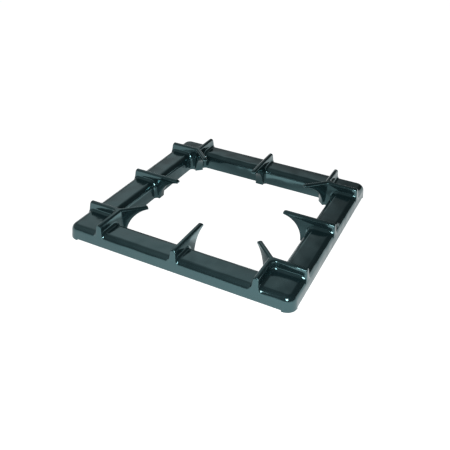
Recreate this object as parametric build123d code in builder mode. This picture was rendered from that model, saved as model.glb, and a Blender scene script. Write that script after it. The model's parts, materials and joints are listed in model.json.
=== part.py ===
from build123d import *
from math import radians, sqrt, tan
import os

os.makedirs("parts", exist_ok=True)

# Frame. Millimetres, Z = 0 is the plane that the casting stands on and X = Y = 0 its middle.
side = 350.0  # square frame, across its corner feet
corner_radius = 16.0  # outer corners of the frame, seen from above
bar_width = 44.5  # foot of the outer skirt to foot of the inner skirt
deck_top = 27.0  # flat top of the frame
edge_radius = 10.0  # rounding of the deck into both skirts
skirt_draft = 7.0  # degrees that both skirts spread towards their feet
wall = 6.0  # metal of the skirts and the deck
skirt_foot = 7.0  # height of the outer skirt's lower edge, the inner skirt reaches Z = 0
corner_foot = 5.0  # height of the outer skirt's lower edge at the four corners
corner_foot_span = 17.0  # length of each corner foot, from the side of the frame

# Fingers that carry the pan
finger_top = 40.5  # level that a pan stands on
finger_width = 7.0  # width of a finger at that level
finger_draft = 5.0  # degrees that a finger's sides spread downwards
finger_edge = 1.8  # bevel of a finger's upper edges
tip_height = 5.0  # metal left at a tip by the hollow underside
middle_length = 39.5  # foot of the inner skirt to the tip of a middle finger
middle_rib = 7.5  # foot of the inner skirt to the foot of a middle finger's rib
fork_length = 29.5  # middle of a fork's legs to its tip, along X and along Y
fork_rib = 5.0  # middle of a fork's legs to the foot of its rib, along X and along Y
finger_fillet = 5.0  # hollow between a finger and the frame
pocket_clearance = 3.5  # how much rounder the hollow between a fork's legs is than the hollows at their feet
arm_fillet = 3.0  # hollow between a fork's leg and its diagonal finger
leg_clearance = 1.4  # flat of a fork's leg between that hollow and the hollow along the inner skirt

# Values that follow from those sizes
skirt_slope = tan(radians(skirt_draft))
base_side = side + 2 * corner_foot * skirt_slope
opening = side - 2 * bar_width
overrun = side / 2 + 2 * finger_fillet
foot_spread = finger_top * tan(radians(finger_draft))
foot_width = finger_width + 2 * foot_spread
middle_reach = opening / 2 - middle_length
arm_corner = foot_width / 2 * (sqrt(2) - 1)
leg_offset = opening / 2 - finger_fillet - leg_clearance - arm_fillet * (sqrt(2) - 1) - arm_corner
fork_reach = leg_offset - fork_length
belly_radius = finger_top - tip_height
pocket_fillet = finger_fillet + pocket_clearance
block_outer = (side - bar_width) / 2
block_side = block_outer - leg_offset


def upright(angle):
    """Plane through the Z axis whose own x axis points outwards at that angle."""
    return Plane(
        origin=(0, 0, 0),
        x_dir=Vector(1, 0, 0).rotate(Axis.Z, angle),
        z_dir=Vector(0, -1, 0).rotate(Axis.Z, angle),
    )


def crossing_lines(edges, pocket):
    """Sharp lines that run up the forks' crossings: between the legs, or else beside the diagonal fingers."""
    reach = foot_width / 2
    near = edges.filter_by(lambda e: abs(abs((e @ 0.5).X) - leg_offset) < reach)
    near = near.filter_by(lambda e: abs(abs((e @ 0.5).Y) - leg_offset) < reach)
    return near.filter_by(lambda e: (min(abs((e @ 0.5).X), abs((e @ 0.5).Y)) > leg_offset) == pocket)


def ring(inset, soften):
    """Form of the frame, drawn in by that much from its skirts and its deck, with softened upper edges."""
    inner_foot = opening / 2 + inset
    with BuildPart() as bar:
        with BuildSketch():
            with Locations(((overrun + inner_foot) / 2, 0)):
                Rectangle(overrun - inner_foot, 2 * overrun)
        extrude(amount=deck_top - inset, taper=skirt_draft)
        soften(bar.faces().sort_by(Axis.Z)[-1].edges().sort_by(Axis.X)[0], edge_radius - inset)
    with BuildPart() as bars:
        with PolarLocations(0, 4):
            add(bar.part)
    with BuildPart() as frame:
        with BuildSketch():
            RectangleRounded(base_side - 2 * inset, base_side - 2 * inset, corner_radius - inset)
        extrude(amount=deck_top - inset, taper=skirt_draft)
        soften(frame.faces().sort_by(Axis.Z)[-1].edges(), edge_radius - inset)
        add(bars.part, mode=Mode.INTERSECT)
    return frame.part


# Fingers: four middle ones and four corner forks, drafted plates that run past the frame for now
with BuildPart() as fingers:
    with BuildSketch():
        with PolarLocations((overrun + middle_reach - foot_spread) / 2, 4):
            Rectangle(overrun - middle_reach + foot_spread, foot_width)
        with PolarLocations((leg_offset + fork_reach) / sqrt(2), 4, start_angle=45):
            Rectangle(sqrt(2) * (leg_offset - fork_reach) + 2 * foot_spread, foot_width)
    extrude(amount=finger_top, taper=finger_draft)
    for hand in (1, -1):
        with BuildSketch():
            with PolarLocations(0, 4):
                with Locations(((overrun + leg_offset) / 2, hand * leg_offset)):
                    Rectangle(overrun - leg_offset + foot_width, foot_width)
        extrude(amount=finger_top, taper=finger_draft)
    fillet(crossing_lines(fingers.edges(), True), radius=pocket_fillet)
    fillet(crossing_lines(fingers.edges(), False), radius=arm_fillet)
    chamfer(fingers.faces().group_by(Axis.Z)[-1].edges(), length=finger_edge)
    with BuildSketch(*[upright(angle) for angle in (0, 90, 180, 270)]):
        with Locations((opening / 2 - middle_rib - belly_radius, 0)):
            Circle(belly_radius)
    extrude(amount=foot_width, both=True, mode=Mode.SUBTRACT)
    with BuildSketch(*[upright(angle) for angle in (45, 135, 225, 315)]):
        with Locations((sqrt(2) * (leg_offset - fork_rib) - belly_radius, 0)):
            Circle(belly_radius)
    extrude(amount=foot_width, both=True, mode=Mode.SUBTRACT)

shell = ring(0, fillet)
core = ring(wall, chamfer)

with BuildPart() as support:
    add(shell)
    # Corner blocks carry the deck out to the forks
    with BuildSketch():
        with GridLocations(block_outer + leg_offset, block_outer + leg_offset, 2, 2):
            Rectangle(block_side, block_side)
    extrude(amount=deck_top)
    # Fingers, with a hollow along every seam
    add(fingers.part)
    fillet(support.edges(Select.NEW), radius=finger_fillet)
    # The fingers end flush with the outer skirt
    with BuildSketch():
        RectangleRounded(base_side, base_side, corner_radius)
    extrude(amount=finger_top, taper=skirt_draft, mode=Mode.INTERSECT)
    # Hollow underside, open between the skirts
    add(core, mode=Mode.SUBTRACT)
    # Lower edge of the outer skirt, with a foot at each corner
    with BuildSketch():
        Rectangle(2 * side, 2 * side)
        Rectangle(side - bar_width, side - bar_width, mode=Mode.SUBTRACT)
    extrude(amount=corner_foot, mode=Mode.SUBTRACT)
    with BuildSketch():
        with PolarLocations(side / 2, 4):
            Rectangle(bar_width, side - 2 * corner_foot_span)
    extrude(amount=skirt_foot, mode=Mode.SUBTRACT)

support.part.label = "pan_support"
export_step(support.part, "parts/pan_support.step")
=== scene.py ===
"""Dresses the cast hob pan support in gloss enamel and sets it in a plain white studio."""

import json
import logging
import math
from dataclasses import dataclass, field
from enum import Enum
from typing import Any

import bpy
from mathutils import Matrix, Vector

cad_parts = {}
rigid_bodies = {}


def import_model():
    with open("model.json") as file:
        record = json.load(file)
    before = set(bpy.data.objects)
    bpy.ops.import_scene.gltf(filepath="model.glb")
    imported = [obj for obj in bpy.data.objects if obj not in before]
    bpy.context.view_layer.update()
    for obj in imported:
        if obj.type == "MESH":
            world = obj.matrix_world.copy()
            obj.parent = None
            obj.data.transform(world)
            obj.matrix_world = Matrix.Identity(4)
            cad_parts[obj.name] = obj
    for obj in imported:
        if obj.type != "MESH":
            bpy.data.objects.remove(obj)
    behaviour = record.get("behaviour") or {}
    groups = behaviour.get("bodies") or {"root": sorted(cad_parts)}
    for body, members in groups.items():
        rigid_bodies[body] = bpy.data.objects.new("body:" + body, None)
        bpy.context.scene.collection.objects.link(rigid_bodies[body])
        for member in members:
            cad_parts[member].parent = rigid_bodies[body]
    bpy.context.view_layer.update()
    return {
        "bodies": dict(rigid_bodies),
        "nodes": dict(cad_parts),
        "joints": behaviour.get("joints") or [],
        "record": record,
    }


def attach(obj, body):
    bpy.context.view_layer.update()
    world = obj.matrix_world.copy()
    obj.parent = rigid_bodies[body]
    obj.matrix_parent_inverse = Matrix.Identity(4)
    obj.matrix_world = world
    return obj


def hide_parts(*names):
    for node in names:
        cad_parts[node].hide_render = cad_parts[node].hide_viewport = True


log = logging.getLogger("pan_support")

MM = 0.001

# The sRGB curve: a straight toe up to the knee, and a power above it
SRGB_KNEE = 0.04045
SRGB_TOE = 12.92
SRGB_LIFT = 0.055
SRGB_POWER = 2.4


class Ray(Enum):
    """Kinds of ray that see the white of the sweep, named as the Light Path node's outputs."""

    CAMERA = "Is Camera Ray"
    GLOSSY = "Is Glossy Ray"
    TRANSMISSION = "Is Transmission Ray"


def linear(hex_colour: str) -> tuple[float, float, float, float]:
    """Turns an sRGB hex colour to the linear values that a shader takes.

    Args:
        hex_colour: six hex digits, with or without a leading #.

    Returns:
        Linear red, green and blue, and an alpha of 1.
    """
    digits = hex_colour.lstrip("#")
    values = [int(digits[i : i + 2], 16) / 255 for i in (0, 2, 4)]
    out = [
        v / SRGB_TOE if v <= SRGB_KNEE else ((v + SRGB_LIFT) / (1 + SRGB_LIFT)) ** SRGB_POWER
        for v in values
    ]
    return (out[0], out[1], out[2], 1.0)


def add_node(
    tree: bpy.types.NodeTree, kind: str, inputs: dict[str | int, Any] | None = None, **settings: Any
) -> bpy.types.Node:
    """Adds a node with its settings, and sets or links its inputs.

    Args:
        tree: node tree that the node goes into.
        kind: the node's type.
        inputs: value, or output socket to link, for each input by name or number.
        settings: the node's own properties.

    Returns:
        The new node.
    """
    node = tree.nodes.new(kind)
    for name, value in settings.items():
        setattr(node, name, value)
    for key, value in (inputs or {}).items():
        if isinstance(value, bpy.types.NodeSocket):
            tree.links.new(value, node.inputs[key])
        else:
            node.inputs[key].default_value = value
    return node


@dataclass(frozen=True)
class GlossEnamel:
    """Vitreous enamel, sprayed as a slip on sand-cast iron and fired until it flows.

    The eye sees a deep grey-green glass: sharp reflections that waver a little, because the coat follows
    the grain of the casting and settles in an orange peel, over a slightly cloudy body colour.
    """

    name: str = "gloss_vitreous_enamel_on_cast_iron"
    body: str = "#18272a"
    cloud: str = "#1e3033"
    sheen: str = "#baf8ff"
    body_roughness: tuple[float, float] = (0.10, 0.16)
    body_ior: float = 2.1
    glass_weight: float = 0.2
    glass_ior: float = 1.5
    glass_roughness: float = 0.05
    # Clouds in the body colour, and the span of the noise over which the roughness follows them
    cloud_size: float = 28 * MM
    cloud_detail: float = 4.0
    cloud_mix: float = 0.6
    cloud_span: tuple[float, float] = (0.3, 0.7)
    # Broad waves of the casting, drawn deeper than real ones so that they show in the reflections
    swell_size: float = 34 * MM
    swell_depth: float = 2.2 * MM
    swell_detail: float = 1.0
    # Orange peel of the fired coat
    peel_size: float = 5 * MM
    peel_depth: float = 0.035 * MM
    peel_detail: float = 2.0
    # Sand grain under the coat, too fine to show and so drawn about a pixel wide
    grain_size: float = 1.2 * MM
    grain_depth: float = 0.003 * MM
    grain_detail: float = 3.0

    def build(self) -> bpy.types.Material:
        """Makes the enamel material.

        Returns:
            The material, with its nodes.
        """
        material = bpy.data.materials.new(self.name)
        material.use_nodes = True
        tree = material.node_tree
        tree.nodes.clear()
        place = add_node(tree, "ShaderNodeTexCoord").outputs["Object"]
        cloud = add_node(
            tree,
            "ShaderNodeTexNoise",
            {
                "Vector": place,
                "Scale": 1 / self.cloud_size,
                "Detail": self.cloud_detail,
                "Roughness": self.cloud_mix,
            },
        ).outputs["Fac"]
        colour = add_node(
            tree,
            "ShaderNodeMix",
            {"Factor": cloud, "A": linear(self.body), "B": linear(self.cloud)},
            data_type="RGBA",
        ).outputs["Result"]
        roughness = add_node(
            tree,
            "ShaderNodeMapRange",
            {
                "Value": cloud,
                "From Min": self.cloud_span[0],
                "From Max": self.cloud_span[1],
                "To Min": self.body_roughness[0],
                "To Max": self.body_roughness[1],
            },
        ).outputs["Result"]
        peel = add_node(
            tree,
            "ShaderNodeTexNoise",
            {"Vector": place, "Scale": 1 / self.peel_size, "Detail": self.peel_detail},
        ).outputs["Fac"]
        grain = add_node(
            tree,
            "ShaderNodeTexNoise",
            {"Vector": place, "Scale": 1 / self.grain_size, "Detail": self.grain_detail},
        ).outputs["Fac"]
        swell = add_node(
            tree,
            "ShaderNodeTexNoise",
            {"Vector": place, "Scale": 1 / self.swell_size, "Detail": self.swell_detail},
        ).outputs["Fac"]
        cast = add_node(
            tree,
            "ShaderNodeBump",
            {"Height": swell, "Distance": self.swell_depth, "Strength": 1.0},
        ).outputs["Normal"]
        wave = add_node(
            tree,
            "ShaderNodeBump",
            {"Height": peel, "Distance": self.peel_depth, "Strength": 1.0, "Normal": cast},
        ).outputs["Normal"]
        skin = add_node(
            tree,
            "ShaderNodeBump",
            {"Height": grain, "Distance": self.grain_depth, "Strength": 1.0, "Normal": wave},
        ).outputs["Normal"]
        shader = add_node(
            tree,
            "ShaderNodeBsdfPrincipled",
            {
                "Base Color": colour,
                "Roughness": roughness,
                "IOR": self.body_ior,
                "Specular Tint": linear(self.sheen),
                "Normal": skin,
                "Coat Weight": self.glass_weight,
                "Coat Roughness": self.glass_roughness,
                "Coat IOR": self.glass_ior,
                "Coat Normal": wave,
            },
        ).outputs["BSDF"]
        add_node(tree, "ShaderNodeOutputMaterial", {"Surface": shader})
        return material


@dataclass(frozen=True)
class PaperSweep:
    """Matt white studio paper: even white to the eye, with only the softest of shadows.

    In the gloss of the casting it carries painted light and shade: glossy and transmission rays see a glow,
    set by distance from the middle, that is bright in the middle of the opening, dim beside and under the
    bars, and lighter again outside them, in place of the casting's shadow on the paper.
    """

    name: str = "matt_white_studio_paper"
    paper: str = "#f8f8f8"
    glow: str = "#ffffff"
    lift: float = 0.9
    # Painted shade in the gloss: brightness beside the bars and outside them, and where it turns from one to
    # the other
    gloss_lift: tuple[float, float] = (0.09, 0.58)
    gloss_reach: tuple[float, float] = (118 * MM, 190 * MM)
    # Painted light in the gloss: brightness in the middle of the opening, and where that ends
    middle_lift: float = 0.95
    middle_reach: tuple[float, float] = (76 * MM, 92 * MM)

    def build(self) -> bpy.types.Material:
        """Makes the paper, evenly white to the camera, with painted light and shade in the gloss of the
        casting.

        Returns:
            The material, with its nodes.
        """
        material = bpy.data.materials.new(self.name)
        material.use_nodes = True
        tree = material.node_tree
        tree.nodes.clear()
        path = add_node(tree, "ShaderNodeLightPath")
        camera = path.outputs[Ray.CAMERA.value]
        mirrored = add_node(
            tree,
            "ShaderNodeMath",
            {0: path.outputs[Ray.GLOSSY.value], 1: path.outputs[Ray.TRANSMISSION.value]},
            operation="MAXIMUM",
        ).outputs["Value"]
        place = add_node(tree, "ShaderNodeTexCoord").outputs["Object"]
        # Painted light and shade: the glow seen in the gloss is set by distance from the middle of the
        # casting
        away = add_node(tree, "ShaderNodeVectorMath", {0: place}, operation="LENGTH").outputs["Value"]
        inside = add_node(
            tree,
            "ShaderNodeMapRange",
            {
                "Value": away,
                "From Min": self.middle_reach[0],
                "From Max": self.middle_reach[1],
                "To Min": self.middle_lift,
                "To Max": self.gloss_lift[0],
            },
        ).outputs["Result"]
        painted_light_and_shade = add_node(
            tree,
            "ShaderNodeMapRange",
            {
                "Value": away,
                "From Min": self.gloss_reach[0],
                "From Max": self.gloss_reach[1],
                "To Min": inside,
                "To Max": self.gloss_lift[1],
            },
        ).outputs["Result"]
        dim = add_node(
            tree, "ShaderNodeMath", {0: mirrored, 1: painted_light_and_shade}, operation="MULTIPLY"
        ).outputs["Value"]
        strength = add_node(
            tree, "ShaderNodeMix", {"Factor": camera, "A": dim, "B": self.lift}, data_type="FLOAT"
        ).outputs["Result"]
        matt = add_node(tree, "ShaderNodeBsdfDiffuse", {"Color": linear(self.paper)}).outputs["BSDF"]
        glow = add_node(
            tree, "ShaderNodeEmission", {"Color": linear(self.glow), "Strength": strength}
        ).outputs["Emission"]
        both = add_node(tree, "ShaderNodeAddShader", {0: matt, 1: glow}).outputs["Shader"]
        add_node(tree, "ShaderNodeOutputMaterial", {"Surface": both})
        return material


@dataclass
class CastSupport:
    """The whole casting: frame, skirts, fingers and forks, with the soft arrises that enamel leaves."""

    node: str = "pan_support"
    body: str = "root"
    slot: str = "enamelled_cast_iron"
    name: str = "enamelled_casting"
    # Merging of the solid's loose triangles
    merge: float = 0.002 * MM
    flat_angle: float = math.radians(0.2)
    # Upper edges of the fingers' ends and tips, which are shorter than a finger is wide
    finger_top: float = 40.5 * MM
    finger_bevel: float = 1.8 * MM
    finger_width: float = 7.0 * MM
    bevel_margin: float = 1.05
    # Crossings of the forks, along X and along Y from the middle of the casting
    crossing: float = 120.0 * MM
    crossing_reach: float = 16.0 * MM
    # Places where the fingers' hollows run out into the outer skirt
    runout_start: float = 166.0 * MM
    runout_reach: float = 13.0 * MM
    runout_height: tuple[float, float] = (19.0 * MM, 31.5 * MM)
    facet_angle: float = math.radians(8)
    # Rounding of the fingers' ends, and of every other edge that is sharper than the angle
    end_round: float = 1.8 * MM
    arris: float = 0.8 * MM
    arris_angle: float = math.radians(32)
    round_steps: int = 3
    # Fewest corners of a face that is split after the rounding
    split_corners: int = 5
    smooth_angle: float = math.radians(40)
    finish: GlossEnamel = field(default_factory=GlossEnamel)

    def build(self, frame: dict[str, Any]) -> bpy.types.Object:
        """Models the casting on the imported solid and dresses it.


        Returns:
            The finished casting.
        """
        casting = self.copy_solid(frame["nodes"][self.node])
        self.join_facets(casting)
        self.round_arrises(casting)
        casting.data.materials.clear()
        casting.data.materials.append(self.finish.build())
        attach(casting, self.body)
        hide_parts(self.node)
        return casting

    def copy_solid(self, solid: bpy.types.Object) -> bpy.types.Object:
        """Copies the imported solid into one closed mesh.

        Args:
            solid: the CAD node's object.

        Returns:
            The copy, with its doubles merged and its flats made whole.
        """
        casting = bpy.data.objects.new(self.name, solid.data.copy())
        casting.data.name = self.name
        bpy.context.scene.collection.objects.link(casting)
        bpy.ops.object.select_all(action="DESELECT")
        casting.select_set(True)
        bpy.context.view_layer.objects.active = casting
        bpy.ops.object.mode_set(mode="EDIT")
        bpy.ops.mesh.select_all(action="SELECT")
        bpy.ops.mesh.remove_doubles(threshold=self.merge)
        bpy.ops.mesh.normals_make_consistent(inside=False)
        bpy.ops.mesh.dissolve_limited(angle_limit=self.flat_angle)
        bpy.ops.object.mode_set(mode="OBJECT")
        return casting

    def is_runout(self, place: Vector) -> bool:
        """Tells whether a corner of the mesh lies where a finger's hollows run out into the outer skirt.

        Args:
            place: where the corner is, in metres.

        Returns:
            True beside the outer ends of the middle fingers and of the forks' legs.
        """
        across, out = sorted((abs(place.x), abs(place.y)))
        beside = min(across, abs(across - self.crossing)) < self.runout_reach
        return beside and out > self.runout_start and self.runout_height[0] < place.z < self.runout_height[1]

    def join_facets(self, casting: bpy.types.Object) -> None:
        """Joins the small facets beside the outer ends of the fingers, so that the rounding has room.

        Args:
            casting: the merged casting, selected and active.
        """
        mesh = casting.data
        bpy.ops.object.mode_set(mode="EDIT")
        bpy.ops.mesh.select_mode(type="EDGE")
        bpy.ops.mesh.select_all(action="DESELECT")
        bpy.ops.object.mode_set(mode="OBJECT")
        for edge in mesh.edges:
            edge.select = all(self.is_runout(mesh.vertices[i].co) for i in edge.vertices)
        bpy.ops.object.mode_set(mode="EDIT")
        bpy.ops.mesh.dissolve_limited(angle_limit=self.facet_angle)
        bpy.ops.object.mode_set(mode="OBJECT")

    def is_end(self, ends: list[Vector]) -> bool:
        """Tells whether an edge lies across the top of a finger's end or tip.

        Args:
            ends: the edge's two ends.

        Returns:
            True for the short upper edges outside the forks' crossings.
        """
        middle = (ends[0] + ends[1]) / 2
        low = min(ends[0].z, ends[1].z)
        short = (ends[0] - ends[1]).length < self.finger_width
        crossed = all(abs(abs(v) - self.crossing) < self.crossing_reach for v in (middle.x, middle.y))
        return low > self.finger_top - self.bevel_margin * self.finger_bevel and short and not crossed

    def round_arrises(self, casting: bpy.types.Object) -> None:
        """Rounds the sharp edges of the casting, as a fired coat does, and the ends of the fingers more.

        Args:
            casting: the merged casting, selected and active.
        """
        mesh = casting.data
        bpy.ops.object.mode_set(mode="EDIT")
        bpy.ops.mesh.select_mode(type="EDGE")
        bpy.ops.mesh.select_all(action="DESELECT")
        bpy.ops.mesh.edges_select_sharp(sharpness=self.arris_angle)
        bpy.ops.object.mode_set(mode="OBJECT")
        weight = mesh.attributes.new("bevel_weight_edge", "FLOAT", "EDGE")
        for edge in mesh.edges:
            if edge.select:
                at_end = self.is_end([mesh.vertices[i].co for i in edge.vertices])
                weight.data[edge.index].value = 1.0 if at_end else self.arris / self.end_round
        bevel = casting.modifiers.new("arris", "BEVEL")
        bevel.width = self.end_round
        bevel.segments = self.round_steps
        bevel.limit_method = "WEIGHT"
        bevel.loop_slide = False
        bevel.use_clamp_overlap = False
        bpy.ops.object.modifier_apply(modifier=bevel.name)
        split = casting.modifiers.new("split", "TRIANGULATE")
        split.min_vertices = self.split_corners
        split.ngon_method = "BEAUTY"
        bpy.ops.object.modifier_apply(modifier=split.name)
        bpy.ops.object.shade_smooth_by_angle(angle=self.smooth_angle)


@dataclass(frozen=True)
class SkyGlow:
    """One soft light in the sky, brightest in the middle."""

    towards: tuple[float, float, float]
    strength: float
    focus: float

    def add(self, tree: bpy.types.NodeTree, under: float | bpy.types.NodeSocket) -> bpy.types.NodeSocket:
        """Adds the glow to the strength of the sky.

        Args:
            tree: the world's node tree.
            under: strength that the glow is added to, a value or a socket.

        Returns:
            The sum of both.
        """
        place = add_node(tree, "ShaderNodeTexCoord").outputs["Generated"]
        middle = Vector(self.towards).normalized()
        facing = add_node(
            tree, "ShaderNodeVectorMath", {0: place, 1: middle}, operation="DOT_PRODUCT"
        ).outputs["Value"]
        ahead = add_node(tree, "ShaderNodeMath", {0: facing, 1: 0.0}, operation="MAXIMUM").outputs["Value"]
        glow = add_node(tree, "ShaderNodeMath", {0: ahead, 1: self.focus}, operation="POWER").outputs["Value"]
        return add_node(
            tree, "ShaderNodeMath", {0: glow, 1: self.strength, 2: under}, operation="MULTIPLY_ADD"
        ).outputs["Value"]


@dataclass
class Studio:
    """White paper sweep under a dim sky, with a soft panel behind the object, a window and a flash.

    The window is on the left of the object and the flash beside the camera. Sizes are in metres.
    """

    floor_radius: float = 9.0
    floor_corners: int = 96
    rim_run: float = 1.5
    rim_rise: float = 1.6
    light: str = "#ffffff"
    ceiling: float = 0.035
    panel: SkyGlow = SkyGlow(towards=(-0.464, 0.663, 0.588), strength=0.50, focus=20.0)
    window: SkyGlow = SkyGlow(towards=(-0.75, -0.25, 0.60), strength=0.22, focus=3.0)
    flash_place: tuple[float, float, float] = (0.36, -0.74, 0.48)
    flash_size: float = 0.26
    flash_power: float = 4.2
    paper: PaperSweep = field(default_factory=PaperSweep)

    def build(self) -> bpy.types.Object:
        """Lays the sweep and hangs the lights.

        Returns:
            The sweep.
        """
        sweep = self.lay_sweep()
        self.light_sky()
        self.hang_flash()
        return sweep

    def lay_sweep(self) -> bpy.types.Object:
        """Models the floor as one disc whose rim turns up.

        Returns:
            The sweep.
        """
        bpy.ops.object.select_all(action="DESELECT")
        bpy.ops.mesh.primitive_circle_add(
            vertices=self.floor_corners, radius=self.floor_radius, fill_type="NGON", location=(0, 0, 0)
        )
        sweep = bpy.context.active_object
        sweep.name = "paper_sweep"
        bpy.ops.object.mode_set(mode="EDIT")
        bpy.ops.mesh.select_all(action="SELECT")
        bpy.ops.mesh.region_to_loop()
        bpy.ops.mesh.extrude_edges_move()
        grow = 1 + self.rim_run / self.floor_radius
        bpy.ops.transform.resize(value=(grow, grow, 1.0))
        bpy.ops.transform.translate(value=(0, 0, self.rim_rise))
        bpy.ops.object.mode_set(mode="OBJECT")
        sweep.data.materials.append(self.paper.build())
        return sweep

    def light_sky(self) -> None:
        """Gives the world a dim ceiling with the panel and the window."""
        world = bpy.data.worlds.new("studio_sky")
        bpy.context.scene.world = world
        world.use_nodes = True
        tree = world.node_tree
        tree.nodes.clear()
        strength = self.window.add(tree, self.panel.add(tree, self.ceiling))
        sky = add_node(
            tree, "ShaderNodeBackground", {"Color": linear(self.light), "Strength": strength}
        ).outputs["Background"]
        add_node(tree, "ShaderNodeOutputWorld", {"Surface": sky})

    def hang_flash(self) -> None:
        """Hangs the flash, a square soft lamp that faces the middle of the object."""
        data = bpy.data.lights.new("flash", "AREA")
        data.shape = "SQUARE"
        data.size = self.flash_size
        data.energy = self.flash_power
        lamp = bpy.data.objects.new("flash", data)
        bpy.context.scene.collection.objects.link(lamp)
        lamp.location = self.flash_place
        lamp.rotation_euler = Vector(self.flash_place).to_track_quat("Z", "Y").to_euler()


@dataclass(frozen=True)
class ProductView:
    """Camera above the front right corner of the support, a little rolled."""

    place: tuple[float, float, float] = (0.312774, -0.683549, 0.471897)
    azimuth: float = math.radians(24.927)
    elevation: float = math.radians(32.997)
    roll: float = math.radians(2.695)
    lens: float = 44.71
    sensor: float = 36.0
    view_end: float = 60.0

    def build(self) -> bpy.types.Object:
        """Places the camera and makes it the scene's own.

        Returns:
            The camera.
        """
        away = Vector(
            (
                math.sin(self.azimuth) * math.cos(self.elevation),
                -math.cos(self.azimuth) * math.cos(self.elevation),
                math.sin(self.elevation),
            )
        )
        level = Vector((0, 0, 1)).cross(away).normalized()
        upright = away.cross(level)
        across = level * math.cos(self.roll) + upright * math.sin(self.roll)
        above = upright * math.cos(self.roll) - level * math.sin(self.roll)
        turn = Matrix((across, above, away)).transposed()
        data = bpy.data.cameras.new("product_view")
        data.lens = self.lens
        data.sensor_width = self.sensor
        data.sensor_fit = "HORIZONTAL"
        data.clip_end = self.view_end
        camera = bpy.data.objects.new("product_view", data)
        bpy.context.scene.collection.objects.link(camera)
        camera.matrix_world = Matrix.Translation(self.place) @ turn.to_4x4()
        bpy.context.scene.camera = camera
        return camera


def main() -> None:
    """Builds the casting, the studio and the camera."""
    logging.basicConfig(level=logging.INFO, format="%(name)s: %(message)s")
    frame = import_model()
    casting = CastSupport().build(frame)
    log.info("%s: %d faces", casting.name, len(casting.data.polygons))
    sweep = Studio().build()
    log.info("%s: laid", sweep.name)
    camera = ProductView().build()
    log.info("%s: %.2f mm lens", camera.name, camera.data.lens)
    bpy.context.scene.view_settings.view_transform = "Standard"


if __name__ == "__main__":
    main()
